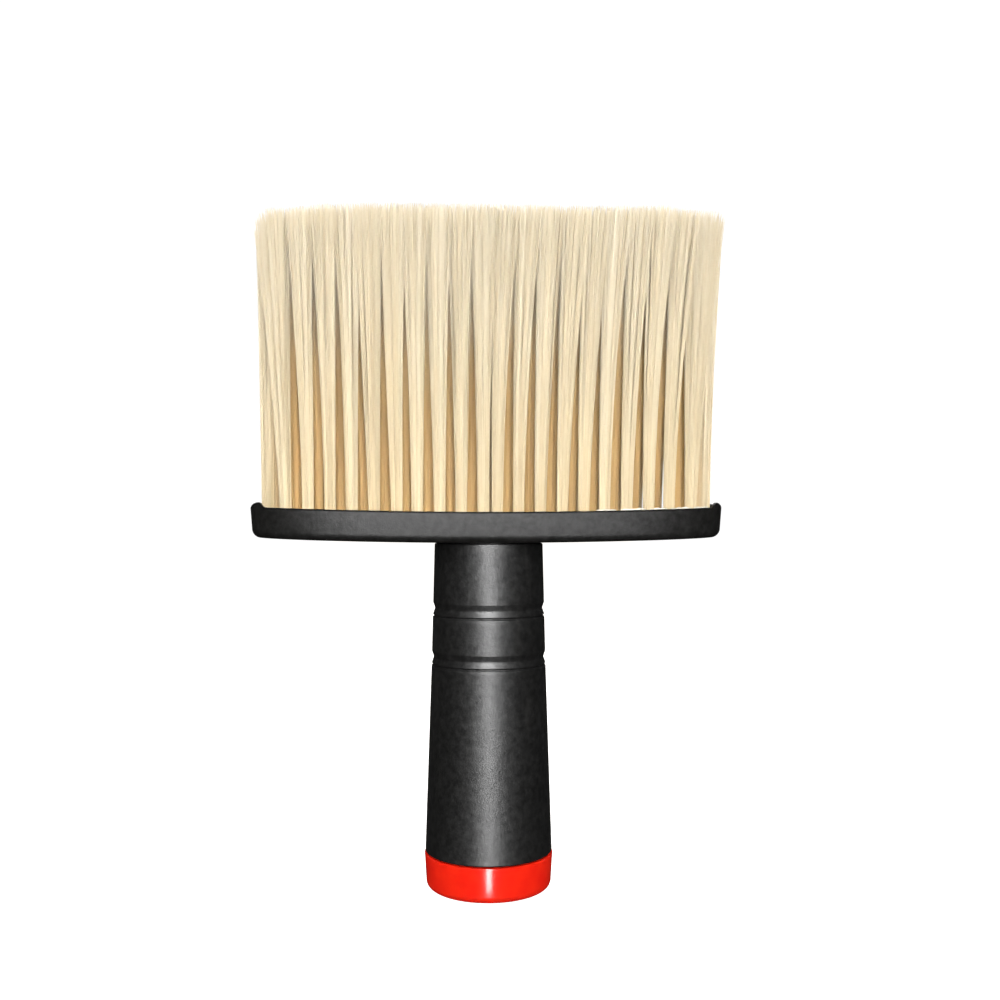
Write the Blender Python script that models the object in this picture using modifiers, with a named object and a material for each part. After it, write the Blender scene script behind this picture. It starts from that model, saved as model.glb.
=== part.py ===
"""Neck duster brush: bristle tufts in a bowed tray, screwed to a hollow tapered grip that stands on a red end cap.

Metres. X runs along the tray, -Y is the front and +Z is up. The origin is the centre of the flat base.
"""

import math

import bmesh
import bpy

MM = 0.001
CLEARANCE = 0.3 * MM

# Heights above the base
CAP_HEIGHT = 9.0 * MM
GRIP_BOTTOM = CAP_HEIGHT + CLEARANCE
GRIP_TOP = 88.0 * MM
TRAY_BOTTOM = GRIP_TOP + CLEARANCE
TRAY_RIM = 96.0 * MM
BRISTLE_TOP = 172.5 * MM

# Grip: a cone below the lower groove and a slightly steeper-sided one above it. Each groove is measured up from
# the fine crease at its lower edge.
GRIP_BOTTOM_RADIUS = 16.26 * MM
GRIP_WAIST = 56.0 * MM
GRIP_WAIST_RADIUS = 14.74 * MM
GRIP_TOP_RADIUS = 13.96 * MM
GRIP_WALL = 1.6 * MM
GRIP_EDGE_ROUND = 0.35 * MM
CAP_SEAT_RADIUS = 14.3 * MM
CAP_SEAT_DEPTH = 9.5 * MM
CAP_SEAT_LEDGE = 0.4 * MM
CREASE_HEIGHTS = (69.45 * MM, 56.95 * MM)
GROOVE_TOP = 3.55 * MM
GROOVE_MIDDLE = 2.15 * MM
GROOVE_END = 0.3 * MM
GROOVE_DEPTH = 0.5 * MM
GROOVE_END_DEPTH = 0.12 * MM
CREASE_DEPTH = 0.28 * MM
CREASE_LIP = 0.35 * MM
WEB_BOTTOM = 74.0 * MM
WEB_THICKNESS = 2.0 * MM
WEB_HOLE_RADIUS = 2.1 * MM

# End cap
CAP_TOP_RADIUS = 16.42 * MM
CAP_BOTTOM_RADIUS = 16.0 * MM
CAP_FOOT_ROUND = 1.9 * MM
CAP_FLOOR = 2.0 * MM
CAP_WALL = 1.6 * MM
CAP_LIP_ROUND = 0.25 * MM
CAP_FOOT_STEPS = 5
CAP_SPIGOT_HEIGHT = 8.0 * MM
SPIGOT_LEAD_IN = 0.6 * MM

# Head screw and its washer
SCREW_RADIUS = 1.75 * MM
SCREW_CORE_RADIUS = 1.3 * MM
SCREW_TIP = 86.0 * MM
SCREW_HEAD_RADIUS = 3.4 * MM
SCREW_HEAD_HEIGHT = 2.2 * MM
SCREW_HEAD_EDGE = 0.9 * MM
SCREW_HEAD_ROUND = 0.7 * MM
SCREW_HEAD_CROWN = 0.3 * MM
SCREW_HEAD_FLAT = 1.8 * MM
THREAD_PITCH = 1.25 * MM
RECESS_DEPTH = 1.3 * MM
RECESS_LENGTH = 3.6 * MM
RECESS_WIDTH = 0.9 * MM
WASHER_RADIUS = 4.6 * MM
WASHER_THICKNESS = 0.8 * MM

# Tray: a long rounded oval, bent so that its ends stand higher than its middle, with a raised lip round each end
TRAY_HALF_LENGTH = 60.8 * MM
TRAY_HALF_DEPTH = 15.8 * MM
TRAY_FULLNESS = 6
TRAY_DRAFT = 0.4 * MM
TRAY_BEND_RISE = 1.3 * MM
END_LIP_RISE = 1.4 * MM
END_LIP_START = 56.0 * MM
END_LIP_CREST = 57.8 * MM
END_LIP_FALL = 1.1 * MM
TRAY_WALL = 1.8 * MM
TRAY_LOWER_ROUND = 2.1 * MM
TRAY_LOWER_FACETS = 4
TRAY_RIM_ROUND = 0.45 * MM
SPIGOT_RADIUS = 12.0 * MM
SPIGOT_WALL = 1.8 * MM
SPIGOT_LENGTH = 8.0 * MM
BOSS_RADIUS = 4.2 * MM
BOSS_HOLE_RADIUS = SCREW_RADIUS + CLEARANCE
MOULDED_OVERLAP = 0.9 * MM

# Tuft plate and adhesive
BED_THICKNESS = 0.8 * MM
BED_MARGIN = 1.5 * MM
PLATE_THICKNESS = 3.3 * MM
SOCKET_DEPTH = 2.6 * MM
SOCKET_RADIUS = 1.65 * MM
CUT_OVERSHOOT = 1.0 * MM

# Tufts: three staggered rows, mirrored about the middle of the tray
TUFT_ROOT_RADIUS = 1.35 * MM
TUFT_PITCH = 5.47 * MM
OUTER_ROW_FIRST = 1.85 * MM
MIDDLE_ROW_FIRST = 4.585 * MM
OUTER_TUFTS_PER_SIDE = 10
MIDDLE_TUFTS_PER_SIDE = 9
END_TUFT_X = 56.0 * MM
ROW_DEPTH = 7.5 * MM
TOP_ROW_DEPTH = 9.0 * MM
TOP_SPREAD = 1.05
TUFT_TOP_HALF_DEPTH = 4.2 * MM
END_TUFT_TOP_X = 57.7 * MM
END_TUFT_TOP_HALF_WIDTH = 2.4 * MM
TUFT_STATIONS = (0.0, 0.35, 0.7, 1.0)
TUFT_FLARE = 0.8
ROUND = 2
RECTANGULAR = 4
CROWN_BOTTOM = 150.0 * MM
CROWN_OVERLAP = 2.0 * MM
TOP_CORNER_START = 56.0 * MM
TOP_CORNER_RADIUS = 4.5 * MM

# Facets
TURNED_STEPS = 40
BOSS_STEPS = 24
SMALL_STEPS = 16
SOCKET_SIDES = 10
TUFT_SIDES = 8
TRAY_SPANS = 27
SMOOTH_UP_TO = math.radians(35)
RIM_EDGE_ANGLE = math.radians(50)

PARTS = "neck_duster_brush"
CUTTERS = "cutters"


# Scene helpers


def clear_scene():
    for obj in list(bpy.data.objects):
        bpy.data.objects.remove(obj, do_unlink=True)


def new_collection(name):
    collection = bpy.data.collections.new(name)
    bpy.context.scene.collection.children.link(collection)
    return collection


def plain_material(name, colour, roughness, metallic=0.0):
    material = bpy.data.materials.new(name)
    material.use_nodes = True
    shader = material.node_tree.nodes["Principled BSDF"]
    shader.inputs["Base Color"].default_value = (*colour, 1.0)
    shader.inputs["Roughness"].default_value = roughness
    shader.inputs["Metallic"].default_value = metallic
    return material


def add_part(name, mesh, material):
    obj = bpy.data.objects.new(name, mesh)
    obj.data.materials.append(material)
    bpy.data.collections[PARTS].objects.link(obj)
    return obj


def add_cutter(name, mesh, collection=CUTTERS):
    obj = bpy.data.objects.new(name, mesh)
    obj.hide_render = True
    obj.display_type = "WIRE"
    bpy.data.collections[collection].objects.link(obj)
    return obj


def add_boolean(obj, name, operation, operand):
    modifier = obj.modifiers.new(name, "BOOLEAN")
    modifier.operation = operation
    modifier.solver = "EXACT"
    if isinstance(operand, bpy.types.Collection):
        modifier.operand_type = "COLLECTION"
        modifier.collection = operand
    else:
        modifier.object = operand


def mesh_of(name, bm):
    bmesh.ops.recalc_face_normals(bm, faces=bm.faces)
    mesh = bpy.data.meshes.new(name)
    bm.to_mesh(mesh)
    bm.free()
    return mesh


def smooth_round_faces(obj):
    obj.data.shade_smooth()
    obj.data.set_sharp_from_angle(angle=SMOOTH_UP_TO)


def profile_mesh(name, profile, closed):
    """A profile of (radius, height) points in the XZ plane, as the edges that a Screw turns."""
    count = len(profile)
    edges = [(i, i + 1) for i in range(count - 1)]
    if closed:
        edges.append((count - 1, 0))
    mesh = bpy.data.meshes.new(name)
    mesh.from_pydata([(radius, 0.0, height) for radius, height in profile], edges, [])
    return mesh


def turn(obj, steps):
    screw = obj.modifiers.new("turn", "SCREW")
    screw.axis = "Z"
    screw.steps = steps
    screw.render_steps = steps
    screw.use_merge_vertices = True
    screw.merge_threshold = 1e-5
    screw.use_smooth_shade = True


def cylinder_mesh(name, radius, bottom, top, steps):
    bm = bmesh.new()
    made = bmesh.ops.create_cone(
        bm, cap_ends=True, segments=steps, radius1=radius, radius2=radius, depth=top - bottom
    )
    bmesh.ops.translate(bm, verts=made["verts"], vec=(0, 0, (bottom + top) / 2))
    return mesh_of(name, bm)


def arc(centre_radius, centre_height, radius, start_deg, end_deg, steps):
    """Points of an arc in the profile plane, from start to end, both included."""
    points = []
    for i in range(steps + 1):
        angle = math.radians(start_deg + (end_deg - start_deg) * i / steps)
        points.append((centre_radius + radius * math.cos(angle), centre_height + radius * math.sin(angle)))
    return points


# Grip


def grip_radius(height):
    """Outer radius of the plain grip at a height, without its grooves."""
    if height < GRIP_WAIST:
        share = (height - GRIP_BOTTOM) / (GRIP_WAIST - GRIP_BOTTOM)
        return GRIP_BOTTOM_RADIUS + share * (GRIP_WAIST_RADIUS - GRIP_BOTTOM_RADIUS)
    share = (height - GRIP_WAIST) / (GRIP_TOP - GRIP_WAIST)
    return GRIP_WAIST_RADIUS + share * (GRIP_TOP_RADIUS - GRIP_WAIST_RADIUS)


def groove_profile(crease):
    """A shallow cove and the narrow crease at its lower edge, from top to bottom."""
    shape = (
        (GROOVE_TOP, 0.0),
        ((GROOVE_TOP + GROOVE_MIDDLE) / 2, 0.6 * GROOVE_DEPTH),
        (GROOVE_MIDDLE, GROOVE_DEPTH),
        ((GROOVE_MIDDLE + GROOVE_END) / 2, 0.7 * GROOVE_DEPTH),
        (GROOVE_END, GROOVE_END_DEPTH),
        (0.0, CREASE_DEPTH),
        (-CREASE_LIP, 0.0),
    )
    return [(grip_radius(crease + offset) - depth, crease + offset) for offset, depth in shape]


def grip_profile():
    """The closed section of the hollow grip, with the web that the screw pulls on."""
    edge = GRIP_EDGE_ROUND
    outside = [(GRIP_TOP_RADIUS - edge, GRIP_TOP), (GRIP_TOP_RADIUS, GRIP_TOP - edge)]
    for crease in CREASE_HEIGHTS:
        outside += groove_profile(crease)
    outside += [
        (grip_radius(GRIP_BOTTOM + edge), GRIP_BOTTOM + edge),
        (GRIP_BOTTOM_RADIUS - edge, GRIP_BOTTOM),
    ]
    seat_top = GRIP_BOTTOM + CAP_SEAT_DEPTH
    web_top = WEB_BOTTOM + WEB_THICKNESS
    inside = [
        (CAP_SEAT_RADIUS, GRIP_BOTTOM),
        (CAP_SEAT_RADIUS, seat_top),
        (CAP_SEAT_RADIUS - CAP_SEAT_LEDGE, seat_top),
        (grip_radius(WEB_BOTTOM) - GROOVE_DEPTH - GRIP_WALL, WEB_BOTTOM),
        (WEB_HOLE_RADIUS, WEB_BOTTOM),
        (WEB_HOLE_RADIUS, web_top),
        (SPIGOT_RADIUS + CLEARANCE, web_top),
        (SPIGOT_RADIUS + CLEARANCE, GRIP_TOP),
    ]
    return outside + inside


def build_grip(material):
    grip = add_part("grip", profile_mesh("grip", grip_profile(), closed=True), material)
    turn(grip, TURNED_STEPS)


# End cap


def cap_profile():
    """Half the section of the cap, up its inside and down its outside: a foot with a spigot that enters the grip."""
    spigot_radius = CAP_SEAT_RADIUS - CLEARANCE
    bore_radius = spigot_radius - CAP_WALL
    spigot_top = CAP_HEIGHT + CAP_SPIGOT_HEIGHT
    foot = arc(CAP_BOTTOM_RADIUS - CAP_FOOT_ROUND, CAP_FOOT_ROUND, CAP_FOOT_ROUND, 0, -90, CAP_FOOT_STEPS)
    return [
        (0.0, CAP_FLOOR),
        (bore_radius, CAP_FLOOR),
        (bore_radius, spigot_top),
        (spigot_radius - SPIGOT_LEAD_IN, spigot_top),
        (spigot_radius, spigot_top - SPIGOT_LEAD_IN),
        (spigot_radius, CAP_HEIGHT),
        (CAP_TOP_RADIUS - CAP_LIP_ROUND, CAP_HEIGHT),
        (CAP_TOP_RADIUS, CAP_HEIGHT - CAP_LIP_ROUND),
        *foot,
        (0.0, 0.0),
    ]


def build_end_cap(material):
    cap = add_part("end_cap", profile_mesh("end_cap", cap_profile(), closed=False), material)
    turn(cap, TURNED_STEPS)


# Head screw and washer


def screw_profile():
    """From the tip down: a pointed thread, a plain neck and a rounded pan head."""
    head_top = WEB_BOTTOM - CLEARANCE - WASHER_THICKNESS - CLEARANCE
    head_bottom = head_top - SCREW_HEAD_HEIGHT
    points = [(0.0, SCREW_TIP)]
    height = SCREW_TIP - THREAD_PITCH
    while height > WEB_BOTTOM + WEB_THICKNESS:
        points.append((SCREW_CORE_RADIUS, height + THREAD_PITCH / 2))
        points.append((SCREW_RADIUS, height))
        height -= THREAD_PITCH
    points.append((SCREW_CORE_RADIUS, height + THREAD_PITCH / 2))
    points.append((SCREW_CORE_RADIUS, head_top))
    points.append((SCREW_HEAD_RADIUS, head_top))
    points.append((SCREW_HEAD_RADIUS, head_top - SCREW_HEAD_EDGE))
    points.append((SCREW_HEAD_RADIUS - SCREW_HEAD_ROUND, head_bottom + SCREW_HEAD_CROWN))
    points.append((SCREW_HEAD_FLAT, head_bottom))
    points.append((0.0, head_bottom))
    return points, head_bottom


def recess_mesh(head_bottom):
    """Two crossed bars as one closed cutter for the screw's cross recess."""
    bm = bmesh.new()
    for length, width in ((RECESS_LENGTH, RECESS_WIDTH), (RECESS_WIDTH, RECESS_LENGTH)):
        made = bmesh.ops.create_cube(bm, size=1.0)
        bmesh.ops.scale(bm, verts=made["verts"], vec=(length, width, 2 * RECESS_DEPTH))
        bmesh.ops.translate(bm, verts=made["verts"], vec=(0, 0, head_bottom))
    return mesh_of("screw_recess", bm)


def build_screw(material):
    profile, head_bottom = screw_profile()
    screw = add_part("head_screw", profile_mesh("head_screw", profile, closed=False), material)
    turn(screw, SMALL_STEPS)
    recess = add_cutter("screw_recess", recess_mesh(head_bottom))
    add_boolean(screw, "cross recess", "DIFFERENCE", recess)
    screw.modifiers["cross recess"].use_self = True


def build_washer(material):
    top = WEB_BOTTOM - CLEARANCE
    bottom = top - WASHER_THICKNESS
    hole = SCREW_RADIUS + CLEARANCE
    profile = [(hole, top), (WASHER_RADIUS, top), (WASHER_RADIUS, bottom), (hole, bottom)]
    washer = add_part("screw_washer", profile_mesh("screw_washer", profile, closed=True), material)
    turn(washer, 2 * SMALL_STEPS)


# Tray, plate and adhesive


def bend(x):
    """How far the bent tray and what lies in it stand above their middle, at a distance along it."""
    return TRAY_BEND_RISE * (x / TRAY_HALF_LENGTH) ** 2


def half_depth(x):
    """Half the depth of the tray's rim at a distance along it: a long oval with a full middle."""
    return TRAY_HALF_DEPTH * math.sqrt(1 - (abs(x) / TRAY_HALF_LENGTH) ** TRAY_FULLNESS)


def oval_stations(inset):
    """(x, half depth) along the oval from its left tip to its right tip, moved square inwards by inset."""
    step = 1e-6
    stations = [(-TRAY_HALF_LENGTH + inset, 0.0)]
    for i in range(1, TRAY_SPANS):
        x = TRAY_HALF_LENGTH * math.sin(math.pi / 2 * (2 * i / TRAY_SPANS - 1))
        slope = (half_depth(x + step) - half_depth(x - step)) / (2 * step)
        length = math.hypot(1.0, slope)
        stations.append((x + inset * slope / length, half_depth(x) - inset / length))
    return stations + [(TRAY_HALF_LENGTH - inset, 0.0)]


def oval_sheet(inset, height):
    """A bmesh with one flat sheet of cross strips that fills the oval at a height."""
    bm = bmesh.new()
    columns = []
    for x, depth in oval_stations(inset):
        front = bm.verts.new((x, -depth, height))
        back = front if depth == 0.0 else bm.verts.new((x, depth, height))
        columns.append((front, back))
    for (front, back), (next_front, next_back) in zip(columns, columns[1:]):
        corners = dict.fromkeys((front, next_front, next_back, back))
        bm.faces.new(list(corners))
    return bm


def bend_all(bm):
    for vert in bm.verts:
        vert.co.z += bend(vert.co.x)


def ramp(value, start, end):
    """0 before start, 1 after end and a smooth rise between."""
    share = min(max((value - start) / (end - start), 0.0), 1.0)
    return share * share * (3 - 2 * share)


def end_lip(x):
    """The extra height of the rim round the tray's ends: up to a crest, then rounded down towards the tip."""
    past_crest = max(abs(x) - END_LIP_CREST, 0.0) / (TRAY_HALF_LENGTH - END_LIP_CREST)
    return END_LIP_RISE * ramp(abs(x), END_LIP_START, END_LIP_CREST) - END_LIP_FALL * past_crest**2


def tray_surface():
    """The outside of the tray: a floor and a leaning wall that meet in a round edge, open at the top."""
    bm = oval_sheet(TRAY_DRAFT, TRAY_BOTTOM)
    foot_edges = [edge for edge in bm.edges if edge.is_boundary]
    rim_depths = dict(zip((x for x, _ in oval_stations(TRAY_DRAFT)), oval_stations(0.0)))
    raised = bmesh.ops.extrude_edge_only(bm, edges=foot_edges)["geom"]
    for vert in [item for item in raised if isinstance(item, bmesh.types.BMVert)]:
        nearest = min(rim_depths, key=lambda x: abs(x - vert.co.x))
        x, depth = rim_depths[nearest]
        vert.co = (x, math.copysign(depth, vert.co.y), TRAY_RIM + end_lip(x))
    bmesh.ops.bevel(
        bm, geom=foot_edges, offset=TRAY_LOWER_ROUND, segments=TRAY_LOWER_FACETS, affect="EDGES", clamp_overlap=True
    )
    bend_all(bm)
    return mesh_of("head_tray", bm)


def spigot_profile():
    """The section of the ring under the tray that fits in the top of the grip."""
    top = TRAY_BOTTOM + MOULDED_OVERLAP
    bottom = TRAY_BOTTOM - SPIGOT_LENGTH
    bore_radius = SPIGOT_RADIUS - SPIGOT_WALL
    return [
        (SPIGOT_RADIUS, top),
        (SPIGOT_RADIUS, bottom + SPIGOT_LEAD_IN),
        (SPIGOT_RADIUS - SPIGOT_LEAD_IN, bottom),
        (bore_radius, bottom),
        (bore_radius, top),
    ]


def build_tray(material):
    tray = add_part("head_tray", tray_surface(), material)
    shell = tray.modifiers.new("wall", "SOLIDIFY")
    shell.thickness = TRAY_WALL
    shell.offset = -1
    shell.use_even_offset = True
    rim = tray.modifiers.new("rim", "BEVEL")
    rim.width = TRAY_RIM_ROUND
    rim.segments = 2
    rim.angle_limit = RIM_EDGE_ANGLE
    spigot = add_cutter("tray_spigot", profile_mesh("tray_spigot", spigot_profile(), closed=True))
    turn(spigot, TURNED_STEPS)
    add_boolean(tray, "spigot", "UNION", spigot)
    bottom = WEB_BOTTOM + WEB_THICKNESS + CLEARANCE
    top = TRAY_BOTTOM + MOULDED_OVERLAP
    boss = add_cutter("tray_boss", cylinder_mesh("tray_boss", BOSS_RADIUS, bottom, top, BOSS_STEPS))
    add_boolean(tray, "boss", "UNION", boss)
    pilot_bottom, pilot_top = bottom - CUT_OVERSHOOT, SCREW_TIP + CLEARANCE
    pilot = cylinder_mesh("pilot_hole", BOSS_HOLE_RADIUS, pilot_bottom, pilot_top, SMALL_STEPS)
    add_boolean(tray, "pilot hole", "DIFFERENCE", add_cutter("pilot_hole", pilot))


def bent_slab(name, inset, bottom, thickness):
    """A closed slab that fills the tray's oval and follows its bend."""
    bm = oval_sheet(inset, bottom)
    raised = bmesh.ops.extrude_face_region(bm, geom=list(bm.faces))["geom"]
    top = [item for item in raised if isinstance(item, bmesh.types.BMVert)]
    bmesh.ops.translate(bm, verts=top, vec=(0, 0, thickness))
    bend_all(bm)
    return mesh_of(name, bm)


def plate_bottom():
    return TRAY_BOTTOM + TRAY_WALL + CLEARANCE + BED_THICKNESS + CLEARANCE


def build_bed(material):
    bottom = TRAY_BOTTOM + TRAY_WALL + CLEARANCE
    inset = TRAY_WALL + BED_MARGIN
    add_part("adhesive_bed", bent_slab("adhesive_bed", inset, bottom, BED_THICKNESS), material)


def socket_cutter():
    """All the tuft sockets as one cutter of separate cylinders."""
    bm = bmesh.new()
    floor = plate_bottom() + PLATE_THICKNESS - SOCKET_DEPTH
    height = SOCKET_DEPTH + 2 * CUT_OVERSHOOT
    for x, y in tuft_places():
        made = bmesh.ops.create_cone(
            bm,
            cap_ends=True,
            segments=SOCKET_SIDES,
            radius1=SOCKET_RADIUS,
            radius2=SOCKET_RADIUS,
            depth=height,
        )
        bmesh.ops.translate(bm, verts=made["verts"], vec=(x, y, floor + height / 2 + bend(x)))
    return mesh_of("tuft_sockets", bm)


def build_plate(material):
    inset = TRAY_WALL + TRAY_DRAFT + CLEARANCE
    mesh = bent_slab("tuft_plate", inset, plate_bottom(), PLATE_THICKNESS)
    plate = add_part("tuft_plate", mesh, material)
    add_boolean(plate, "sockets", "DIFFERENCE", add_cutter("tuft_sockets", socket_cutter()))


# Tufts


def mirrored_row(first, count):
    """Places along a row, from left to right, mirrored about the middle."""
    right = [first + TUFT_PITCH * i for i in range(count)]
    return [-x for x in reversed(right)] + right


def tuft_places():
    outer = mirrored_row(OUTER_ROW_FIRST, OUTER_TUFTS_PER_SIDE)
    middle = mirrored_row(MIDDLE_ROW_FIRST, MIDDLE_TUFTS_PER_SIDE) + [-END_TUFT_X, END_TUFT_X]
    return [(x, y) for y in (-ROW_DEPTH, ROW_DEPTH) for x in outer] + [(x, 0.0) for x in middle]


def trim_height(x):
    """The trimmed top of the bristles, flat with round corners at the ends."""
    past = min(max(abs(x) - TOP_CORNER_START, 0.0), TOP_CORNER_RADIUS)
    drop = TOP_CORNER_RADIUS - math.sqrt(TOP_CORNER_RADIUS**2 - past**2)
    return BRISTLE_TOP - drop


def tuft_section(bm, centre, half_size, squareness, height, trimmed):
    """One ring of a tuft, from a circle at squareness 2 towards a rounded rectangle."""
    ring = []
    for i in range(TUFT_SIDES):
        angle = 2 * math.pi * (i + 0.5) / TUFT_SIDES
        across = math.copysign(abs(math.cos(angle)) ** (2 / squareness), math.cos(angle))
        along = math.copysign(abs(math.sin(angle)) ** (2 / squareness), math.sin(angle))
        x = centre[0] + half_size[0] * across
        y = centre[1] + half_size[1] * along
        ring.append(bm.verts.new((x, y, trim_height(x) if trimmed else height)))
    return ring


def tuft_mesh(name, foot, crown, crown_half_size, top):
    """A tuft that is round in its socket and flares to a rounded rectangle at its trimmed end."""
    root = plate_bottom() + PLATE_THICKNESS - SOCKET_DEPTH + CLEARANCE + bend(foot[0])
    collar = TRAY_RIM + bend(foot[0])
    bm = bmesh.new()
    rings = [tuft_section(bm, foot, (TUFT_ROOT_RADIUS, TUFT_ROOT_RADIUS), ROUND, root, False)]
    for share in TUFT_STATIONS:
        centre = [f + (c - f) * share for f, c in zip(foot, crown)]
        grown = share**TUFT_FLARE
        half = [TUFT_ROOT_RADIUS + (size - TUFT_ROOT_RADIUS) * grown for size in crown_half_size]
        height = collar + (top - collar) * share
        trimmed = share == 1.0 and top == BRISTLE_TOP
        squareness = ROUND + (RECTANGULAR - ROUND) * share
        rings.append(tuft_section(bm, centre, half, squareness, height, trimmed))
    for ring, following in zip(rings, rings[1:]):
        for i in range(TUFT_SIDES):
            j = (i + 1) % TUFT_SIDES
            bm.faces.new((ring[i], ring[j], following[j], following[i]))
    bm.faces.new(rings[0])
    bm.faces.new(rings[-1])
    return mesh_of(name, bm)


def crown_x(x):
    """Where a tuft of an outer row ends, with the crowns an even pitch apart across the middle."""
    half_pitch = TUFT_PITCH * TOP_SPREAD / 2
    return math.copysign(half_pitch + (abs(x) - OUTER_ROW_FIRST) * TOP_SPREAD, x)


def build_outer_rows(material):
    """The front and rear rows, each tuft a piece of its own."""
    crown_half_width = (TUFT_PITCH * TOP_SPREAD - CLEARANCE) / 2
    for row, side in (("front", -1), ("rear", 1)):
        for number, x in enumerate(mirrored_row(OUTER_ROW_FIRST, OUTER_TUFTS_PER_SIDE), 1):
            name = f"{row}_tuft_{number:02d}"
            crown = (crown_x(x), side * TOP_ROW_DEPTH)
            half_size = (crown_half_width, TUFT_TOP_HALF_DEPTH)
            mesh = tuft_mesh(name, (x, side * ROW_DEPTH), crown, half_size, BRISTLE_TOP)
            add_part(name, mesh, material)


def build_end_tufts(material):
    for name, side in (("end_tuft_left", -1), ("end_tuft_right", 1)):
        half_size = (END_TUFT_TOP_HALF_WIDTH, TUFT_TOP_HALF_DEPTH)
        crown = (side * END_TUFT_TOP_X, 0.0)
        mesh = tuft_mesh(name, (side * END_TUFT_X, 0.0), crown, half_size, BRISTLE_TOP)
        add_part(name, mesh, material)


def build_middle_row(material):
    """The middle row: tufts that run together into one crown of bristles."""
    legs = new_collection("middle_row_legs")
    leg_top = CROWN_BOTTOM + CROWN_OVERLAP
    crown_half_width = (TUFT_PITCH - CLEARANCE) / 2
    for number, x in enumerate(mirrored_row(MIDDLE_ROW_FIRST, MIDDLE_TUFTS_PER_SIDE), 1):
        name = f"middle_leg_{number:02d}"
        half_size = (crown_half_width, TUFT_TOP_HALF_DEPTH - 2 * CLEARANCE)
        crown = (x * TOP_SPREAD, 0.0)
        mesh = tuft_mesh(name, (x, 0.0), crown, half_size, leg_top)
        add_cutter(name, mesh, legs.name)
    half_length = END_TUFT_TOP_X - END_TUFT_TOP_HALF_WIDTH - CLEARANCE
    bm = bmesh.new()
    made = bmesh.ops.create_cube(bm, size=1.0)
    size = (2 * half_length, 2 * TUFT_TOP_HALF_DEPTH, BRISTLE_TOP - CROWN_BOTTOM)
    bmesh.ops.scale(bm, verts=made["verts"], vec=size)
    bmesh.ops.translate(bm, verts=made["verts"], vec=(0, 0, (BRISTLE_TOP + CROWN_BOTTOM) / 2))
    row = add_part("middle_tuft_row", mesh_of("middle_tuft_row", bm), material)
    add_boolean(row, "legs", "UNION", legs)


def main():
    clear_scene()
    new_collection(PARTS)
    new_collection(CUTTERS)
    black_plastic = plain_material("black_plastic", (0.018, 0.018, 0.019), 0.45)
    red_plastic = plain_material("red_plastic", (0.85, 0.03, 0.012), 0.22)
    bristle = plain_material("bristle", (0.80, 0.63, 0.38), 0.6)
    cream_plastic = plain_material("plate_plastic", (0.55, 0.42, 0.25), 0.5)
    adhesive = plain_material("adhesive", (0.80, 0.76, 0.66), 0.35)
    steel = plain_material("zinc_steel", (0.62, 0.62, 0.60), 0.35, 1.0)
    build_end_cap(red_plastic)
    build_grip(black_plastic)
    build_washer(steel)
    build_screw(steel)
    build_tray(black_plastic)
    build_bed(adhesive)
    build_plate(cream_plastic)
    build_outer_rows(bristle)
    build_end_tufts(bristle)
    build_middle_row(bristle)
    for obj in bpy.data.collections[PARTS].objects:
        if obj.data.polygons:
            smooth_round_faces(obj)


main()
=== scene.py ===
import math

import bmesh
import bpy
import numpy as np
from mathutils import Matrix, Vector


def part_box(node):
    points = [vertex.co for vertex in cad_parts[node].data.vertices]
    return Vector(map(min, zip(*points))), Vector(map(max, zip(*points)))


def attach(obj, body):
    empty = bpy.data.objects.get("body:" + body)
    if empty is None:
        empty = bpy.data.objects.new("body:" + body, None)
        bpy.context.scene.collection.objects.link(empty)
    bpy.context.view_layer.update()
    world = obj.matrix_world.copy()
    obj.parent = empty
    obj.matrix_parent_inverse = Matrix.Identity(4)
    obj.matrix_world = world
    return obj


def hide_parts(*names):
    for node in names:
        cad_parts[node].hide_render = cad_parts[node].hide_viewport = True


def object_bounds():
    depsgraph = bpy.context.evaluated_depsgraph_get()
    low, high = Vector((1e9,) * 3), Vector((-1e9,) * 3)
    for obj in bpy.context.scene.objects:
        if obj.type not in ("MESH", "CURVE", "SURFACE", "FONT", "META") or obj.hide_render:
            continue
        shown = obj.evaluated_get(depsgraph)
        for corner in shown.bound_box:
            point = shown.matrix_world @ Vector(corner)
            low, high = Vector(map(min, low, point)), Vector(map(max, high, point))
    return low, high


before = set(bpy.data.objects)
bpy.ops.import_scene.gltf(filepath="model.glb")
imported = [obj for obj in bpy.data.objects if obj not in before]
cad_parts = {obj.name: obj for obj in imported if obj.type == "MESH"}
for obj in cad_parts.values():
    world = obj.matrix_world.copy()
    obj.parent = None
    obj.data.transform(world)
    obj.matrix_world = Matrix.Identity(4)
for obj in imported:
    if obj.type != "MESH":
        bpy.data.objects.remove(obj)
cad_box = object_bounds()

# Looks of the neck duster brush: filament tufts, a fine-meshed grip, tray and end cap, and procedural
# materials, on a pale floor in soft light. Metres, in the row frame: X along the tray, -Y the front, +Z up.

MM = 0.001

# Tufts: filaments gather into locks part of the way up, and flare into a crown that is trimmed at the top
FILAMENTS_PER_TUFT = 240
FILAMENTS_PER_INNER_TUFT = 190
FILAMENT_SIDES = 3
FILAMENT_RADIUS = 0.1 * MM
FILAMENT_TAPER = 0.25
FILAMENT_END_SHARE = 0.4
ROOT_RADIUS = 1.38 * MM
END_ROOT_RADIUS = 2.3 * MM
INNER_ROOT_RADIUS = 1.75 * MM
ROOT_SCATTER = 0.12 * MM
CROWN_SCATTER = 0.16 * MM
LOCKS_PER_TUFT = 13
LOCK_TONE_SHARE = 0.65
LOCK_JITTER = 0.12
LOCK_PULL = 0.26
INNER_LOCK_PULL = 0.08
LOCK_PULL_BUILDS = (0.12, 0.55)
LOCK_PULL_FADES = (0.65, 1.0)
LOCK_PULL_LOST = 0.85
LOCK_SWAY = 0.11 * MM
LOCK_WAVES = (2.0, 3.6)
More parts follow.
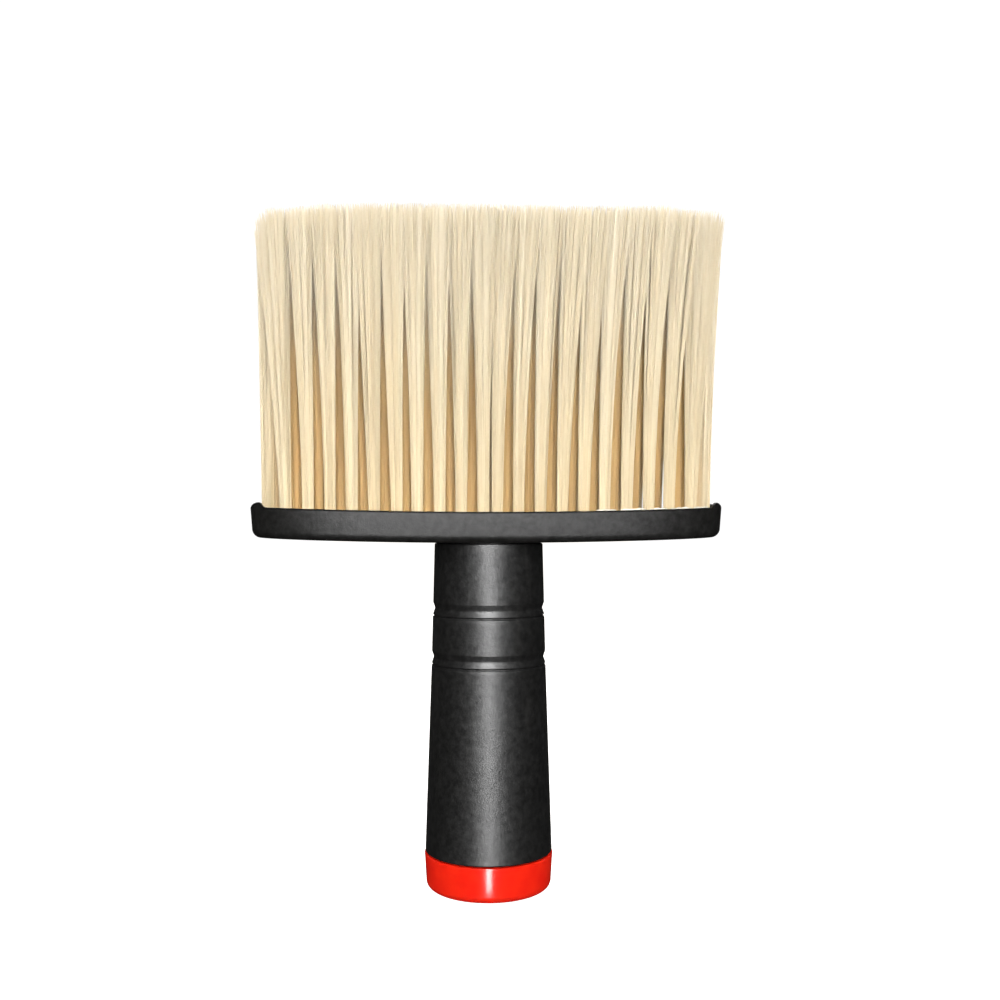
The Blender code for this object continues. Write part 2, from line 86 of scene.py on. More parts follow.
FILAMENT_JITTER = 0.02
FILAMENT_SWAY = 0.04 * MM
FILAMENT_WAVES = (2.5, 6.0)
LEAN = 1.0 * MM
TIP_UNEVENNESS = 0.12 * MM
CROWN_OVERLAP = 1.3
CROWN_SIZES = (0.94, 1.06)
MIDDLE_CROWN_HALF_SIZE = (4.3 * MM, 5.4 * MM)
CORNER_REACH = 0.2 * MM
CORNER_SETBACK = 0.7 * MM
CORNER_WIDENING = 0.9 * MM
END_TUFT_INSET = 0.2 * MM
END_CROWN_INSET = 0.7 * MM
MIDDLE_ROW_END = 48.0 * MM
MIDDLE_ROW_END_SHIFT = 1.1 * MM
CROWN_SPREAD = 1.05
TRIM_SLOPE = 0.009
TRIM_SHOULDER_START = 40.0 * MM
TRIM_SHOULDER_DROP = 1.3 * MM
TRIM_CORNER_START = 54.6 * MM
TRIM_CORNER_RADIUS = 4.7 * MM
TRIM_WAVES = ((0.14 * MM, 11.5 * MM, 2.6), (0.1 * MM, 4.9 * MM, 0.0))
END_TUFT_START = 54.0 * MM
# Painted shade, a darker tan on filaments deep inside the brush: how much on the end tufts and the outer
# rows, and where it fades out along them
END_TUFT_PAINTED_SHADE = 0.6
OUTER_ROW_PAINTED_SHADE = 0.5
PAINTED_SHADE_FADES = (0.4, 0.9)
ROW_GAP = 3.0 * MM
SOCKET_FLOOR_TO_RIM = 3.3 * MM
SOCKET_MARGIN = 1.5 * MM
CROWN_SHARE_OF_HEIGHT = 0.93
FLARE_EXPONENTS = (1.15, 1.5)
TUFT_SEED = 100
MIDDLE_TUFT_SEED = 300
GOLDEN_ANGLE = math.pi * (3 - math.sqrt(5))
STATIONS = np.array((0.0, 0.16, 0.34, 0.52, 0.68, 0.82, 0.93, 0.98, 1.0))

# Turned pieces
TURNED_STEPS = 160
EDGE_STEPS = 5
GRIP_WAIST = 56.0 * MM
GRIP_WAIST_RADIUS = 14.74 * MM
GRIP_TOP_RADIUS = 13.96 * MM
GRIP_EDGE_ROUND = 0.35 * MM
GRIP_BORE_RADIUS = 12.3 * MM
CAP_SEAT_RADIUS = 14.3 * MM
CAP_SEAT_DEPTH = 9.5 * MM
WEB_BOTTOM = 74.0 * MM
WEB_TOP = 76.0 * MM
WEB_HOLE_RADIUS = 2.1 * MM
CREASE_HEIGHTS = (69.45 * MM, 56.95 * MM)
# (height above the crease, depth) along a groove
GROOVE_SHAPE = (
    (-0.34 * MM, 0.0),
    (-0.12 * MM, 0.36 * MM),
    (0.02 * MM, 0.38 * MM),
    (0.38 * MM, 0.05 * MM),
    (1.1 * MM, 0.26 * MM),
    (1.7 * MM, 0.48 * MM),
    (1.95 * MM, 0.52 * MM),
    (2.3 * MM, 0.42 * MM),
    (3.45 * MM, 0.0),
)
GROOVE_SOFTNESS = 0.08 * MM
RING_SPACING = 0.03 * MM
CAP_SHOULDER = 9.0 * MM
CAP_BOTTOM_RADIUS = 16.0 * MM
CAP_FOOT_ROUND = 1.9 * MM
CAP_LIP_ROUND = 0.35 * MM
CAP_SPIGOT_RADIUS = 14.0 * MM
CAP_WALL = 1.6 * MM
CAP_FLOOR = 2.0 * MM
CAP_LEAD_IN = 0.6 * MM
CAP_INNER_FILLET = 0.5 * MM

# Tray
TRAY_HALF_LENGTH, TRAY_HALF_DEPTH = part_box("head_tray")[1].xy
TRAY_BOTTOM = 88.3 * MM
TRAY_HEIGHT = 7.7 * MM
TRAY_FULLNESS = 6
TRAY_DRAFT = 0.4 * MM
TRAY_BEND_RISE = 1.3 * MM
END_LIP_RISE = 1.25 * MM
END_LIP_START = 56.0 * MM
END_LIP_CREST = 57.8 * MM
END_LIP_FALL = 1.1 * MM
TRAY_WALL = 1.8 * MM
TRAY_LOWER_ROUND = 2.1 * MM
TRAY_RIM_ROUND = 0.6 * MM
TRAY_INNER_FILLET = 0.6 * MM
TRAY_STEPS = 121
SPIGOT_RADIUS = 12.0 * MM
SPIGOT_WALL = 1.8 * MM
SPIGOT_BOTTOM = 80.3 * MM
BOSS_RADIUS = 4.2 * MM
BOSS_HOLE_RADIUS = 2.05 * MM
BOSS_BOTTOM = 76.3 * MM
BOSS_HOLE_TOP = 86.3 * MM
MOULDED_OVERLAP = 0.9 * MM

# Dried glue: (from, to) along the tray, and the side of it
GLUE_RUNS = (
    (26.0 * MM, 31.0 * MM, -1),
    (32.0 * MM, 38.5 * MM, -1),
    (39.5 * MM, 44.0 * MM, -1),
    (45.0 * MM, 50.5 * MM, -1),
    (51.2 * MM, 55.6 * MM, -1),
    (24.0 * MM, 29.0 * MM, 1),
    (-41.0 * MM, -37.5 * MM, 1),
)
GLUE_LIFT = 0.12 * MM
GLUE_RADIUS = 0.42 * MM
GLUE_INSET = 0.25 * MM
GLUE_SEED = 41
GLUE_COLLAR_RADIUS = 2.15 * MM
END_COLLAR_RADIUS = 2.9 * MM
GLUE_COLLAR_HEIGHT = 0.55 * MM
GLUE_COLLAR_SEED = 42
GLUE_COLLAR_SIDES = 14
# (share of the collar's radius, height above the plate) of its rings, from the outer edge inwards
GLUE_COLLAR_RINGS = (
    (1.0, -0.1 * MM),
    (0.86, GLUE_COLLAR_HEIGHT * 0.6),
    (0.6, GLUE_COLLAR_HEIGHT),
    (0.3, 0.0),
)

# Stage and camera
FLOOR_RADIUS = 4.0
FLOOR_DROP = 0.05 * MM
FLOOR_GLOW = 0.88
LIGHTS_AIM = (0.0, 0.0, 0.09)
CAMERA_DISTANCE = 0.295
CAMERA_HEIGHT = 0.095
CAMERA_AZIMUTH = math.radians(-3.3)
CAMERA_TURN_RIGHT = math.radians(0.57)
CAMERA_TILT_UP = math.radians(0.8)
CAMERA_LENS = 41.0
CAMERA_SENSOR = 36.0


# Geometry helpers


def new_object(name, mesh, material):
    obj = bpy.data.objects.new(name, mesh)
    obj.data.materials.append(material)
    bpy.context.scene.collection.objects.link(obj)
    return obj


def as_piece(obj, slot, *nodes):
    """Puts a piece on the brush's one body and hides the CAD nodes it stands for."""
    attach(obj, "root")
    if nodes:
        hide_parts(*nodes)
    return obj


def mesh_of(name, bm, smooth_up_to=40):
    bmesh.ops.recalc_face_normals(bm, faces=bm.faces)
    mesh = bpy.data.meshes.new(name)
    bm.to_mesh(mesh)
    bm.free()
    mesh.shade_smooth()
    mesh.set_sharp_from_angle(angle=math.radians(smooth_up_to))
    return mesh


def arc(centre, radius, start_deg, end_deg, steps=EDGE_STEPS):
    """Points of an arc in the (radius, height) plane, both ends included."""
    angles = [math.radians(start_deg + (end_deg - start_deg) * i / steps) for i in range(steps + 1)]
    return [(centre[0] + radius * math.cos(a), centre[1] + radius * math.sin(a)) for a in angles]


def lathe(name, profile, material, closed=False, steps=TURNED_STEPS):
    """Turns a (radius, height) profile about Z. Points on the axis become one vertex each."""
    bm = bmesh.new()
    angles = [2 * math.pi * i / steps for i in range(steps)]
    rings = []
    for radius, height in profile:
        if radius < 1e-6:
            rings.append([bm.verts.new((0, 0, height))])
        else:
            points = [(radius * math.cos(a), radius * math.sin(a), height) for a in angles]
            rings.append([bm.verts.new(point) for point in points])
    pairs = list(zip(rings, rings[1:]))
    if closed:
        pairs.append((rings[-1], rings[0]))
    for lower, upper in pairs:
        for i in range(steps):
            j = (i + 1) % steps
            corners = [(lower, i), (lower, j), (upper, j), (upper, i)]
            bm.faces.new(list(dict.fromkeys(ring[k % len(ring)] for ring, k in corners)))
    return new_object(name, mesh_of(name, bm), material)


def blend_step(low, high, values):
    """0 below low, 1 above high, and a smooth step between."""
    share = np.clip((np.asarray(values, float) - low) / (high - low), 0.0, 1.0)
    return share * share * (3 - 2 * share)


# Material helpers


class Shader:
    """A material with its Principled shader and short ways to add nodes."""

    def __init__(self, name, **values):
        self.material = bpy.data.materials.new(name)
        self.material.use_nodes = True
        self.tree = self.material.node_tree
        self.principled = self.tree.nodes["Principled BSDF"]
        for key, value in values.items():
            self.principled.inputs[key].default_value = value
        self.coords = self.tree.nodes.new("ShaderNodeTexCoord").outputs["Object"]

    def link(self, output, target):
        self.tree.links.new(output, target)

    def to(self, key, output):
        self.link(output, self.principled.inputs[key])

    def stretched(self, scale):
        """The row frame's coordinates times a scale for each axis."""
        mapping = self.tree.nodes.new("ShaderNodeMapping")
        mapping.inputs["Scale"].default_value = scale
        self.link(self.coords, mapping.inputs["Vector"])
        return mapping.outputs["Vector"]

    def noise(self, size, detail=3.0, roughness=0.5, vector=None, distortion=0.0):
        """A 0 to 1 noise whose blotches are about that size in metres."""
        node = self.tree.nodes.new("ShaderNodeTexNoise")
        node.inputs["Scale"].default_value = 1.0 / size
        node.inputs["Detail"].default_value = detail
        node.inputs["Roughness"].default_value = roughness
        node.inputs["Distortion"].default_value = distortion
        self.link(vector or self.coords, node.inputs["Vector"])
        return node.outputs["Fac"]

    def remap(self, value, from_low, from_high, to_low=0.0, to_high=1.0):
        node = self.tree.nodes.new("ShaderNodeMapRange")
        self.link(value, node.inputs["Value"])
        node.inputs["From Min"].default_value = from_low
        node.inputs["From Max"].default_value = from_high
        node.inputs["To Min"].default_value = to_low
        node.inputs["To Max"].default_value = to_high
        return node.outputs["Result"]

    def maths(self, operation, first, second):
        node = self.tree.nodes.new("ShaderNodeMath")
        node.operation = operation
        for socket, value in zip(node.inputs, (first, second)):
            if isinstance(value, bpy.types.NodeSocket):
                self.link(value, socket)
            else:
                socket.default_value = value
        return node.outputs["Value"]

    def mix(self, share, first, second):
        """A colour between two, each a tuple or an output."""
        node = self.tree.nodes.new("ShaderNodeMix")
        node.data_type = "RGBA"
        self.link(share, node.inputs["Factor"])
        for key, value in ((6, first), (7, second)):
            if isinstance(value, bpy.types.NodeSocket):
                self.link(value, node.inputs[key])
            else:
                node.inputs[key].default_value = (*value, 1.0)
        return node.outputs[2]

    def attribute(self, name):
        node = self.tree.nodes.new("ShaderNodeAttribute")
        node.attribute_name = name
        return node.outputs["Fac"]

    def height(self):
        node = self.tree.nodes.new("ShaderNodeSeparateXYZ")
        self.link(self.coords, node.inputs["Vector"])
        return node.outputs["Z"]

    def bump(self, height, depth, strength=1.0):
        """A bump whose full range of height is that many metres deep."""
        node = self.tree.nodes.new("ShaderNodeBump")
        node.inputs["Strength"].default_value = strength
        node.inputs["Distance"].default_value = depth
        self.link(height, node.inputs["Height"])
        self.to("Normal", node.outputs["Normal"])


def black_plastic(name, gloss, paleness):
    """Satin moulded plastic: a fine grain, blotches where it cooled unevenly and a few rubbed streaks."""
    shader = Shader(name, **{"IOR": 1.5})
    blotches = shader.noise(1.6 * MM, detail=5.0, roughness=0.65)
    clouds = shader.noise(7.0 * MM, detail=2.0)
    grain = shader.noise(0.42 * MM, detail=3.0)
    rubbed = shader.noise(3.0 * MM, detail=5.0, vector=shader.stretched((1.0, 1.0, 0.16)), distortion=0.4)
    rubbed = shader.remap(rubbed, 0.58, 0.72)
    colour = shader.mix(shader.remap(blotches, 0.35, 0.7), (0.7 * paleness,) * 3, (1.3 * paleness,) * 3)
    colour = shader.mix(shader.maths("MULTIPLY", rubbed, 0.35), colour, (0.018, 0.0178, 0.0172))
    shader.to("Base Color", colour)
    rough = shader.remap(blotches, 0.3, 0.7, 0.38, 0.46)
    rough = shader.maths("ADD", rough, shader.remap(clouds, 0.3, 0.7, -0.02, 0.02))
    rough = shader.maths("ADD", rough, shader.maths("MULTIPLY", grain, 0.04))
    shader.to("Roughness", rough)
    # Painted shade in the gloss: where a mesh marks its rounded rim, as the tray's does, it reflects less
    # and reads as a darker line
    level = shader.remap(shader.attribute("rim"), 0.0, 1.0, gloss, 0.3 * gloss)
    level = shader.maths("MULTIPLY", level, shader.remap(blotches, 0.3, 0.7, 0.78, 1.22))
    shader.to("Specular IOR Level", level)
    relief = shader.maths("ADD", grain, shader.maths("MULTIPLY", blotches, 2.0))
    shader.bump(relief, 0.03 * MM, 0.9)
    return shader.material


def red_plastic():
    """Glossy red plastic with a slight ripple, faint fine scratches and a duller foot."""
    shader = Shader("red_plastic", **{"IOR": 1.5, "Specular IOR Level": 0.36})
    blotches = shader.noise(4.0 * MM, detail=3.0)
    scratches = shader.noise(0.5 * MM, detail=4.0, vector=shader.stretched((1.0, 1.0, 5.0)))
    colour = shader.mix(shader.remap(blotches, 0.3, 0.7), (0.72, 0.011, 0.004), (0.79, 0.018, 0.005))
    shader.to("Base Color", colour)
    worn = shader.remap(shader.height(), 0.0, 3.0 * MM, 0.10, 0.0)
    rough = shader.maths("ADD", worn, shader.remap(scratches, 0.45, 0.75, 0.15, 0.24))
    shader.to("Roughness", rough)
    shader.bump(blotches, 0.02 * MM, 0.6)
    return shader.material


def bristle():
    """Nylon filament: each strand has its own tone, warmer at the root and paler at the tip, with a painted
    shade, a darker tan, on filaments deep inside the brush.
    """
    shader = Shader("bristle", **{"IOR": 1.5, "Specular IOR Level": 0.25})
    tone = shader.attribute("tone")
    along = shader.attribute("along")
    painted_shade = shader.attribute("painted_shade")
    streaks = shader.noise(0.9 * MM, detail=2.0, vector=shader.stretched((1.0, 1.0, 0.03)))
    root = shader.mix(tone, (0.79, 0.65, 0.41), (0.88, 0.77, 0.55))
    tip = shader.mix(tone, (0.87, 0.78, 0.60), (0.95, 0.88, 0.73))
    colour = shader.mix(along, root, tip)
    colour = shader.mix(shader.remap(streaks, 0.4, 0.75, 0.0, 0.25), colour, (0.80, 0.64, 0.38))
    # Painted shade: filaments deep inside the brush turn a darker tan, most at the root
    colour = shader.mix(painted_shade, colour, (0.72, 0.49, 0.21))
    shader.to("Base Color", colour)
    shader.to("Roughness", shader.remap(tone, 0.0, 1.0, 0.46, 0.6))
    shader.bump(shader.noise(0.3 * MM, detail=2.0), 0.01 * MM, 0.4)
    return shader.material


def plate_plastic():
    """Dull tan plastic, stained in blotches, with a fine grain."""
    shader = Shader("plate_plastic", **{"IOR": 1.5})
    blotches = shader.noise(3.0 * MM, detail=5.0, roughness=0.6)
    grain = shader.noise(0.25 * MM, detail=2.0)
    colour = shader.mix(shader.remap(blotches, 0.35, 0.7), (0.42, 0.30, 0.16), (0.58, 0.45, 0.27))
    shader.to("Base Color", colour)
    shader.to("Roughness", shader.remap(grain, 0.2, 0.8, 0.48, 0.66))
    shader.bump(grain, 0.03 * MM, 0.7)
    return shader.material


def adhesive():
    """Dried clear glue, cloudy in places."""
    shader = Shader("adhesive", **{"IOR": 1.48})
    cloud = shader.noise(1.1 * MM, detail=4.0)
    lumps = shader.noise(0.5 * MM, detail=3.0)
    colour = shader.mix(shader.remap(cloud, 0.3, 0.7), (0.70, 0.64, 0.52), (0.88, 0.85, 0.78))
    shader.to("Base Color", colour)
    shader.to("Roughness", shader.remap(lumps, 0.3, 0.7, 0.22, 0.5))
    shader.bump(lumps, 0.08 * MM, 0.7)
    return shader.material


def zinc_steel():
    """Zinc plate: a fine turned grain and cloudy patches."""
    shader = Shader("zinc_steel", Metallic=1.0)
    cloud = shader.noise(1.4 * MM, detail=4.0)
    turned = shader.noise(0.3 * MM, detail=2.0, vector=shader.stretched((1.0, 1.0, 8.0)))
    colour = shader.mix(shader.remap(cloud, 0.3, 0.7), (0.50, 0.50, 0.48), (0.66, 0.66, 0.63))
    shader.to("Base Color", colour)
    shader.to("Roughness", shader.remap(turned, 0.3, 0.7, 0.28, 0.46))
    shader.bump(turned, 0.01 * MM, 0.6)
    return shader.material


# Grip and end cap


def groove_depth(height):
    """How far the grooves and the creases at their lower edges cut in at a height."""
    offsets, depths = zip(*GROOVE_SHAPE)
    nearby = height + np.linspace(-GROOVE_SOFTNESS, GROOVE_SOFTNESS, 7)
    cuts = [np.interp(nearby - crease, offsets, depths, 0.0, 0.0).mean() for crease in CREASE_HEIGHTS]
    return float(max(cuts))


def grip_heights(bottom, top):
    """The heights of the grip's rings, from the top down, close together across the grooves."""
    heights = list(np.linspace(bottom, top, 40))
    for crease in CREASE_HEIGHTS:
        low = crease + GROOVE_SHAPE[0][0] - GROOVE_SOFTNESS
        high = crease + GROOVE_SHAPE[-1][0] + GROOVE_SOFTNESS
        heights += list(np.linspace(low, high, 76))
    kept = [top]
    for height in sorted(heights, reverse=True):
        if kept[-1] - height > RING_SPACING:
            kept.append(height)
    return kept


def build_grip(material):
    low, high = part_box("grip")
    bottom, top, bottom_radius = low.z, high.z, high.x
    edge = GRIP_EDGE_ROUND
    taper = (bottom, GRIP_WAIST, top), (bottom_radius, GRIP_WAIST_RADIUS, GRIP_TOP_RADIUS)
    outside = []
    for height in grip_heights(bottom + edge, top - edge):
        outside.append((float(np.interp(height, *taper)) - groove_depth(height), height))
    upper_edge = arc((GRIP_TOP_RADIUS - edge, top - edge), edge, 90, 10)
    lower_edge = arc((bottom_radius - edge, bottom + edge), edge, -10, -90)
    inside = [
        (CAP_SEAT_RADIUS, bottom),
        (CAP_SEAT_RADIUS, bottom + CAP_SEAT_DEPTH),
        (GRIP_BORE_RADIUS, WEB_BOTTOM),
        (WEB_HOLE_RADIUS, WEB_BOTTOM),
        (WEB_HOLE_RADIUS, WEB_TOP),
        (GRIP_BORE_RADIUS, WEB_TOP),
        (GRIP_BORE_RADIUS, top),
    ]
    grip = lathe("grip_body", upper_edge + outside + lower_edge + inside, material, closed=True)
    as_piece(grip, "black_plastic", "grip")


def build_end_cap(material):
    low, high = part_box("end_cap")
    bore, fillet = CAP_SPIGOT_RADIUS - CAP_WALL, CAP_INNER_FILLET
    profile = [(0.0, CAP_FLOOR), (bore - fillet, CAP_FLOOR)]
    profile += arc((bore - fillet, CAP_FLOOR + fillet), fillet, -80, 0)
    profile += [
        (bore, high.z),
        (CAP_SPIGOT_RADIUS - CAP_LEAD_IN, high.z),
        (CAP_SPIGOT_RADIUS, high.z - CAP_LEAD_IN),
        (CAP_SPIGOT_RADIUS, CAP_SHOULDER),
    ]
    profile += arc((high.x - CAP_LIP_ROUND, CAP_SHOULDER - CAP_LIP_ROUND), CAP_LIP_ROUND, 90, 0)
    profile += arc((CAP_BOTTOM_RADIUS - CAP_FOOT_ROUND, CAP_FOOT_ROUND), CAP_FOOT_ROUND, 0, -90, 14)
    profile += [(0.0, low.z)]
    as_piece(lathe("end_cap_shell", profile, material), "red_plastic", "end_cap")


# Tray


def tray_outline(inset):
    """(x, half depth) pairs from the left tip to the right tip, moved square inwards by inset."""
    length, depth = TRAY_HALF_LENGTH, TRAY_HALF_DEPTH
    share = np.sin(math.pi / 2 * np.linspace(-1, 1, TRAY_STEPS)[1:-1])
    half_depth = depth * np.sqrt(1 - np.abs(share) ** TRAY_FULLNESS)
    slope = -(depth**2) * TRAY_FULLNESS / (2 * length) * np.sign(share)
    slope = slope * np.abs(share) ** (TRAY_FULLNESS - 1) / half_depth
    reach = np.hypot(1.0, slope)
    middle = zip(share * length + inset * slope / reach, half_depth - inset / reach)
    return [(inset - length, 0.0), *middle, (length - inset, 0.0)]


def tray_profile():
    """(inset, height above the bottom) from the edge of the underside, up the wall and in over the rim."""
    lower, rim, wall = TRAY_LOWER_ROUND, TRAY_RIM_ROUND, TRAY_WALL
    profile = [(TRAY_DRAFT + lower - x, lower + z) for x, z in arc((0.0, 0.0), lower, -90, 0, 10)]
    shoulder = TRAY_HEIGHT - rim
    profile += [(rim - x, shoulder + z) for x, z in arc((0.0, 0.0), rim, 0, 90)]
    profile += [(wall - rim - x, shoulder + z) for x, z in arc((0.0, 0.0), rim, 90, 180)]
    foot = wall + TRAY_DRAFT
    profile += [(foot, wall + TRAY_INNER_FILLET), (foot + TRAY_INNER_FILLET, wall)]
    return profile


def tray_lift(x, height):
    """The tray's bend, and the lip round its ends, which fades out down the wall."""
    past_crest = max(abs(x) - END_LIP_CREST, 0.0) / (TRAY_HALF_LENGTH - END_LIP_CREST)
    lip = END_LIP_RISE * float(blend_step(END_LIP_START, END_LIP_CREST, abs(x)))
    lip -= END_LIP_FALL * past_crest**2
    return TRAY_BEND_RISE * (x / TRAY_HALF_LENGTH) ** 2 + lip * height / TRAY_HEIGHT


def tray_ring(bm, inset, height):
    """The front and the back half of one ring of the tray, which share its two tips."""
    outline = [(x, depth, TRAY_BOTTOM + height + tray_lift(x, height)) for x, depth in tray_outline(inset)]
    front = [bm.verts.new((x, -depth, z)) for x, depth, z in outline]
    back = [bm.verts.new(point) for point in outline[1:-1]]
    # Marks the rounded rim, whose gloss is turned down for a painted shade line
    rim = bm.verts.layers.float["rim"]
    for vert in front + back:
        vert[rim] = float(height > TRAY_HEIGHT - TRAY_RIM_ROUND)
    return front, [front[0], *back, front[-1]]


def build_tray(material):
    bm = bmesh.new()
    bm.verts.layers.float.new("rim")
    rings = [tray_ring(bm, inset, height) for inset, height in tray_profile()]
    for lower, upper in zip(rings, rings[1:]):
        for side, following in zip(lower, upper):
            for i in range(TRAY_STEPS - 1):
                bm.faces.new((side[i], side[i + 1], following[i + 1], following[i]))
    for front, back in (rings[0], rings[-1]):
        for i in range(TRAY_STEPS - 1):
            bm.faces.new(list(dict.fromkeys((front[i], front[i + 1], back[i + 1], back[i]))))
    tray = new_object("tray_shell", mesh_of("tray_shell", bm), material)
    as_piece(tray, "black_plastic", "head_tray")
    build_spigot(material)
    build_boss(material)


def build_spigot(material):
    """The ring under the tray that sits in the top of the grip."""
    top, bore = TRAY_BOTTOM + MOULDED_OVERLAP, SPIGOT_RADIUS - SPIGOT_WALL
    profile = [
        (SPIGOT_RADIUS, top),
        (SPIGOT_RADIUS, SPIGOT_BOTTOM + CAP_LEAD_IN),
        (SPIGOT_RADIUS - CAP_LEAD_IN, SPIGOT_BOTTOM),
        (bore, SPIGOT_BOTTOM),
        (bore, top),
    ]
    as_piece(lathe("tray_spigot", profile, material, closed=True), "black_plastic")


def build_boss(material):
    """The screw's boss under the tray, with its blind hole."""
    profile = [
        (0.0, TRAY_BOTTOM + MOULDED_OVERLAP),
        (BOSS_RADIUS, TRAY_BOTTOM + MOULDED_OVERLAP),
        (BOSS_RADIUS, BOSS_BOTTOM),
        (BOSS_HOLE_RADIUS, BOSS_BOTTOM),
        (BOSS_HOLE_RADIUS, BOSS_HOLE_TOP),
        (0.0, BOSS_HOLE_TOP),
    ]
    as_piece(lathe("tray_boss", profile, material, steps=48), "black_plastic")


# Tufts


def node_points(name):
    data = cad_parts[name].data
    points = np.empty(len(data.vertices) * 3)
    data.vertices.foreach_get("co", points)
    return points.reshape(-1, 3)


def feet_of(name):
    """The centre of each root of a tuft node, from left to right."""
    points = node_points(name)
    low = points[points[:, 2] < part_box("tuft_plate")[1].z - SOCKET_MARGIN]
    low = low[np.argsort(low[:, 0])]
    splits = np.nonzero(np.diff(low[:, 0]) > SOCKET_MARGIN)[0] + 1
    return [group.mean(axis=0) for group in np.split(low, splits)]


def placed_feet(name):
    """The feet as the filaments stand in them, moved a little at the middle row's ends to close gaps."""
    feet = feet_of(name)
    for foot in feet:
        outward = math.copysign(1.0, foot[0])
        if name.startswith("end"):
            foot[0] -= END_TUFT_INSET * outward
        elif name == "middle_tuft_row" and abs(foot[0]) > MIDDLE_ROW_END:
            foot[0] += MIDDLE_ROW_END_SHIFT * outward
    return feet


def crown_of(name):
    """The middle and half size of a tuft node's trimmed end."""
    points = node_points(name)
    top = points[points[:, 2] > CROWN_SHARE_OF_HEIGHT * points[:, 2].max()]
    low, high = top.min(axis=0), top.max(axis=0)
    return (low + high)[:2] / 2, (high - low)[:2] / 2


def disk_points(count, rng, nudge):
    """Points spread evenly over the unit disk, each nudged at random."""
    index = np.arange(count) + 0.5
    radius = np.sqrt(index / count)
    angle = index * GOLDEN_ANGLE + rng.uniform(0, 2 * math.pi)
    points = np.stack([radius * np.cos(angle), radius * np.sin(angle)], axis=1)
    return points + rng.normal(0, nudge, points.shape)


def squared(points):
    """Points of the unit disk moved out to fill a rounded square."""
    angle = np.arctan2(points[:, 1], points[:, 0])
    reach = (np.abs(np.cos(angle)) ** 4 + np.abs(np.sin(angle)) ** 4) ** -0.25
    return points * reach[:, None]


def trim_height(x, top):
    """The trimmed top: slightly wavy and a touch out of level, easing down to round corners at the ends."""
    shoulder = TRIM_SHOULDER_DROP * blend_step(TRIM_SHOULDER_START, TRIM_CORNER_START, np.abs(x))
    past = np.clip(np.abs(x) - TRIM_CORNER_START, 0.0, TRIM_CORNER_RADIUS)
    corner = TRIM_CORNER_RADIUS - np.sqrt(TRIM_CORNER_RADIUS**2 - past**2)
    wave = sum(size * np.sin(x / length + phase) for size, length, phase in TRIM_WAVES)
    return top + TRIM_SLOPE * x - shoulder - corner + wave


def tuft(foot, crown, half_size, top, count, root_radius, lock_pull, seed):
    """One tuft: ring centres (filament, station, xyz), each filament's tone and how much painted shade it
    gets for how deep it stands.

    Filaments run from the foot out to the crown. Each leans towards its lock's centre line on the way.
    """
    rng = np.random.default_rng(seed)
    disk = disk_points(count, rng, FILAMENT_JITTER)
    foot = foot + np.append(rng.normal(0, ROOT_SCATTER, 2), 0.0)
    crown = np.asarray(crown) + rng.normal(0, CROWN_SCATTER, 2)
    half_size = np.asarray(half_size) * rng.uniform(*CROWN_SIZES)
    locks = disk_points(LOCKS_PER_TUFT, rng, LOCK_JITTER)
    lock = np.argmin(((disk[:, None] - locks[None]) ** 2).sum(axis=2), axis=1)
    share = STATIONS[None, :, None]
    flare = share ** rng.uniform(*FLARE_EXPONENTS)

    def path(points):
        root = foot[:2] + points * root_radius
        end = crown + squared(points) * half_size
        return root[:, None] + (end - root)[:, None] * flare

    own = path(disk)
    pull = lock_pull * blend_step(*LOCK_PULL_BUILDS, STATIONS)
    pull = pull * (1 - LOCK_PULL_LOST * blend_step(*LOCK_PULL_FADES, STATIONS))
    swing = np.sin(share * rng.uniform(*LOCK_WAVES, (LOCKS_PER_TUFT, 1, 1)))
    centre = (path(locks) + rng.normal(0, LOCK_SWAY, (LOCKS_PER_TUFT, 1, 2)) * swing)[lock]
    line = own + (centre - own) * pull[None, :, None]
    wander = rng.normal(0, FILAMENT_SWAY, (count, 1, 2))
    line = line + wander * np.sin(share * rng.uniform(*FILAMENT_WAVES, (count, 1, 1)))
    line[:, :, 0] += LEAN * STATIONS**2
    tip = trim_height(line[:, -1, 0] - LEAN, top) - np.abs(rng.normal(0, TIP_UNEVENNESS, count))
    collar = foot[2] + SOCKET_FLOOR_TO_RIM
    height = collar + (tip[:, None] - collar) * STATIONS
    rings = np.concatenate([line, height[:, :, None]], axis=2)
    start = np.concatenate([own[:, 0], np.full((count, 1), foot[2])], axis=1)[:, None]
    tones = LOCK_TONE_SHARE * rng.uniform(0, 1, LOCKS_PER_TUFT)[lock]
    tones = tones + (1 - LOCK_TONE_SHARE) * rng.uniform(0, 1, count)
    return np.concatenate([start, rings], axis=1), tones, painted_shade_share(disk, foot)


def painted_shade_share(disk, foot):
    """How much painted shade a filament gets for how deep it stands: from 0 on the outside of the brush to 1
    in the middle row.
    """
    if abs(foot[0]) > END_TUFT_START:
        return END_TUFT_PAINTED_SHADE * blend_step(-0.1, 0.9, -disk[:, 0] * math.copysign(1.0, foot[0]))
    if abs(foot[1]) < ROW_GAP:
        return np.ones(len(disk))
    inward = -disk[:, 1] * math.copysign(1.0, foot[1])
    return OUTER_ROW_PAINTED_SHADE * blend_step(-0.2, 1.0, inward)


def mesh_from_arrays(name, points, face_groups):
    """A mesh from points and groups of faces, the faces of each group with the same number of corners."""
    mesh = bpy.data.meshes.new(name)
    sizes = np.concatenate([np.full(len(faces), faces.shape[1]) for faces in face_groups])
    corners = np.concatenate([faces.ravel() for faces in face_groups])
    mesh.vertices.add(len(points))
    mesh.vertices.foreach_set("co", points.ravel())
    mesh.loops.add(len(corners))
    mesh.loops.foreach_set("vertex_index", corners.astype(np.int32))
    mesh.polygons.add(len(sizes))
    mesh.polygons.foreach_set("loop_start", (np.cumsum(sizes) - sizes).astype(np.int32))
    mesh.update(calc_edges=True)
    return mesh


